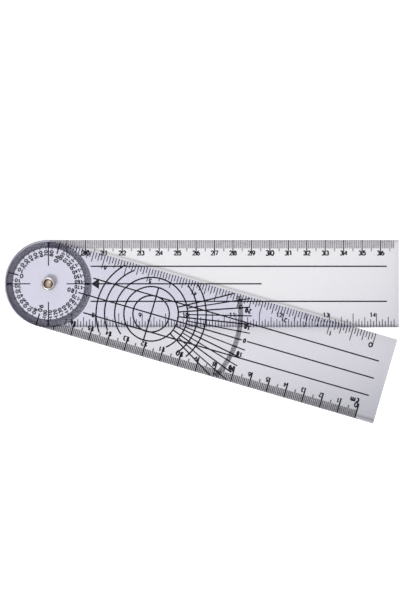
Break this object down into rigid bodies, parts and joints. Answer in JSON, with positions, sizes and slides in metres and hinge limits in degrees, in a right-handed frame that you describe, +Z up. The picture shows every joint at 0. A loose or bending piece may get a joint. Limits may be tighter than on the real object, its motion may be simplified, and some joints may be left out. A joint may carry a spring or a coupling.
{
  "type": "goniometer",
  "caption": "Flat clear plastic goniometer: a printed dial arm and a printed pointer arm, both straight rules, turning on one rivet.",
  "frame": {"origin": "on the turning axis, at the underside of the rivet's head, which is the lowest point", "axes": "+X along the pointer arm towards its square end, +Z up through the dial arm's printed face, +Y towards the pointer arm's centimetre edge"},
  "size_m": [0.2137, 0.0993, 0.0041],
  "materials": {
    "pointer_arm_plastic": "clear, faintly blue grey, glossy",
    "dial_arm_plastic": "clear, faintly blue grey, glossy",
    "washer_plastic": "clear, smooth",
    "rivet_metal": "bright nickel plating over brass, warmer inside the hollow end",
    "print_ink": "screen-printed black ink"
  },
  "bodies": {
    "pointer": {"pointer_arm": "pointer_arm_plastic", "friction_washer": "washer_plastic", "pivot_rivet": "rivet_metal"},
    "dial": {"dial_arm": "dial_arm_plastic"}
  },
  "joints": [
    {"name": "arm_pivot", "type": "hinge", "parent": "pointer", "child": "dial", "pos_m": [0, 0, 0.00272], "axis": [0, 0, 1], "continuous": true}
  ]
}
